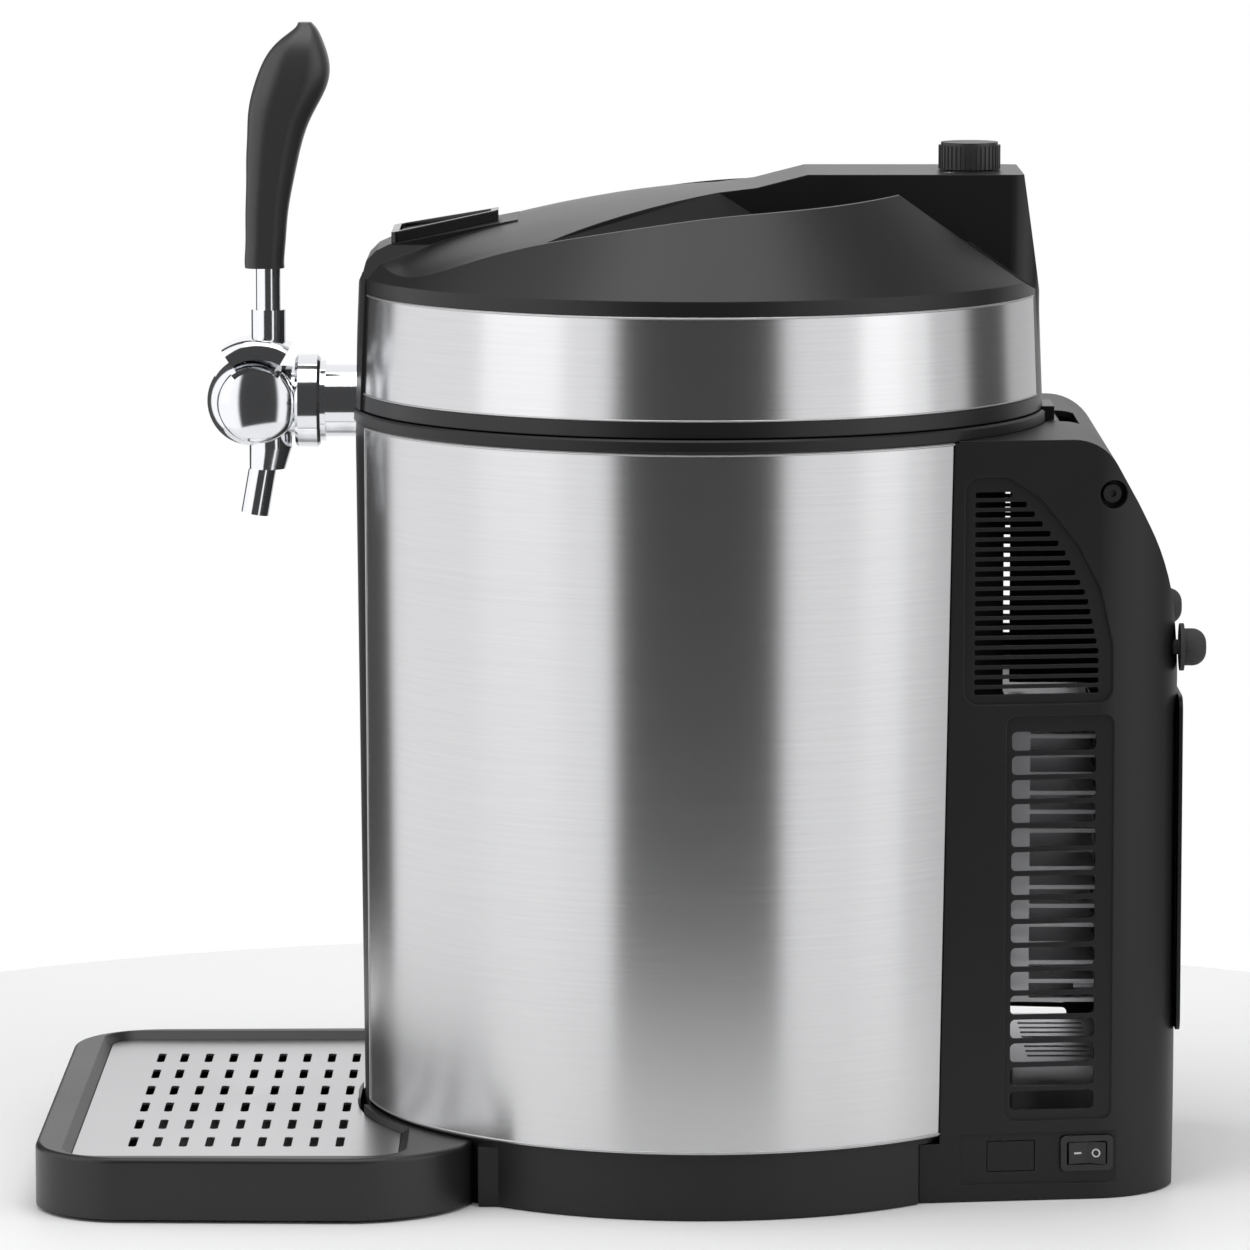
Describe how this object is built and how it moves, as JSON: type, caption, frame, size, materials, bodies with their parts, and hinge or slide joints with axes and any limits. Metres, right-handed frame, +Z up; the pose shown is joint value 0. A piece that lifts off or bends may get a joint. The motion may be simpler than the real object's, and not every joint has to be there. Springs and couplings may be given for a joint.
{
  "type": "mini keg beer dispenser",
  "caption": "Cooled countertop beer dispenser for a mini keg, with a hinged lid, a lever tap, a gas regulator knob, a rear fan and a slide-out drip tray.",
  "frame": {"origin": "on the floor, under the middle of the bounding box", "axes": "+Z up, the tap and the drip tray point to -Y, +X is the side with the power switch"},
  "size_m": [0.276, 0.4572, 0.4554],
  "materials": {
    "black_plastic": "satin",
    "black_gloss": "gloss",
    "handle_plastic": "satin",
    "knob_plastic": "satin",
    "switch_plastic": "satin",
    "fan_plastic": "satin",
    "pale_plastic": "satin",
    "black_rubber": "matte",
    "steel_skin": "satin",
    "grid_steel": "satin",
    "screw_steel": "satin",
    "tap_chrome": "polished",
    "well_aluminium": "satin",
    "fin_aluminium": "satin",
    "supply_case": "satin",
    "ceramic_plate": "matte",
    "brass": "satin",
    "foam": "matte"
  },
  "bodies": {
    "cabinet": {"feet": "black_rubber", "base_plate": "black_plastic", "base_plinth": "black_plastic", "cabinet_shell": "black_plastic", "side_skin_right": "steel_skin", "side_skin_left": "steel_skin", "front_spine": "black_plastic", "top_ring": "black_plastic", "well_liner": "well_aluminium", "well_foam": "foam", "cold_block": "well_aluminium", "peltier_module": "ceramic_plate", "heatsink": "fin_aluminium", "fan_frame": "fan_plastic", "fan_screws": "screw_steel", "power_supply": "supply_case", "rear_housing": "black_plastic", "housing_screws": "screw_steel", "rear_grille": "black_plastic", "wall_bumpers": "black_rubber", "switch_bezel": "switch_plastic", "blank_cover": "black_plastic", "power_inlet": "switch_plastic", "hinge_bracket": "black_plastic", "hinge_pin": "screw_steel", "tap_body": "tap_chrome", "pivot_pin": "tap_chrome", "pivot_caps": "tap_chrome", "tap_spout": "tap_chrome", "tap_collar": "tap_chrome", "shank_washer": "tap_chrome", "tap_shank": "tap_chrome", "shank_nut": "tap_chrome", "beer_line": "screw_steel", "keg_coupler": "pale_plastic"},
    "lid": {"hinge_leaf": "black_plastic", "lid_cover": "black_plastic", "lid_skin_right": "steel_skin", "lid_skin_left": "steel_skin", "lid_liner": "pale_plastic", "lid_foam": "foam", "lid_seal": "black_rubber", "latch_bezel": "black_gloss", "latch_pin": "screw_steel", "regulator_body": "brass", "co2_cartridge": "screw_steel", "cartridge_holder": "pale_plastic", "gas_pipe": "screw_steel"},
    "gas_knob": {"regulator_knob": "knob_plastic", "regulator_spindle": "screw_steel"},
    "latch_button_body": {"latch_button": "black_plastic"},
    "latch_hook_body": {"latch_hook": "black_plastic"},
    "tap_lever": {"lever_yoke": "tap_chrome", "lever_stem": "tap_chrome", "tap_handle": "handle_plastic"},
    "fan": {"fan_rotor": "fan_plastic"},
    "power_switch": {"switch_rocker": "switch_plastic"},
    "tray": {"drip_tray": "black_plastic", "tray_feet": "black_rubber"},
    "tray_grid": {"drip_grid": "grid_steel"}
  },
  "joints": [
    {"name": "lid_hinge", "type": "hinge", "parent": "cabinet", "child": "lid", "pos_m": [0, 0.17045, 0.2946], "axis": [-1, 0, 0], "range_deg": [0, 80]},
    {"name": "tap_lever_pivot", "type": "hinge", "parent": "cabinet", "child": "tap_lever", "pos_m": [0, -0.14455, 0.3051], "axis": [1, 0, 0], "range_deg": [0, 40]},
    {"name": "gas_knob_turn", "type": "hinge", "parent": "lid", "child": "gas_knob", "pos_m": [0, 0.13775, 0.4], "axis": [0, 0, 1], "range_deg": [-135, 135]},
    {"name": "latch_button_press", "type": "slide", "parent": "lid", "child": "latch_button_body", "axis": [0, 0, -1], "range_m": [0, 0.002], "stiffness_N_per_m": 400, "springref_m": -0.001},
    {"name": "latch_hook_rock", "type": "hinge", "parent": "lid", "child": "latch_hook_body", "pos_m": [0, -0.06705, 0.357], "axis": [1, 0, 0], "range_deg": [0, 8.2]},
    {"name": "fan_spin", "type": "hinge", "parent": "cabinet", "child": "fan", "pos_m": [0, 0.18095, 0.131], "axis": [0, 1, 0], "continuous": true},
    {"name": "switch_tilt", "type": "hinge", "parent": "cabinet", "child": "power_switch", "pos_m": [0.08781, 0.18159, 0.0184], "axis": [0, 0, 1], "range_deg": [0, 10.5]},
    {"name": "tray_slide", "type": "slide", "parent": "cabinet", "child": "tray", "axis": [0, -1, 0], "range_m": [0, 0.15]},
    {"name": "grid_lift", "type": "slide", "parent": "tray", "child": "tray_grid", "axis": [0, 0, 1], "range_m": [0, 0.03]}
  ],
  "couplings": [
    {"joint": "latch_hook_rock", "follows": "latch_button_press", "rad_per_m": 71.429}
  ]
}
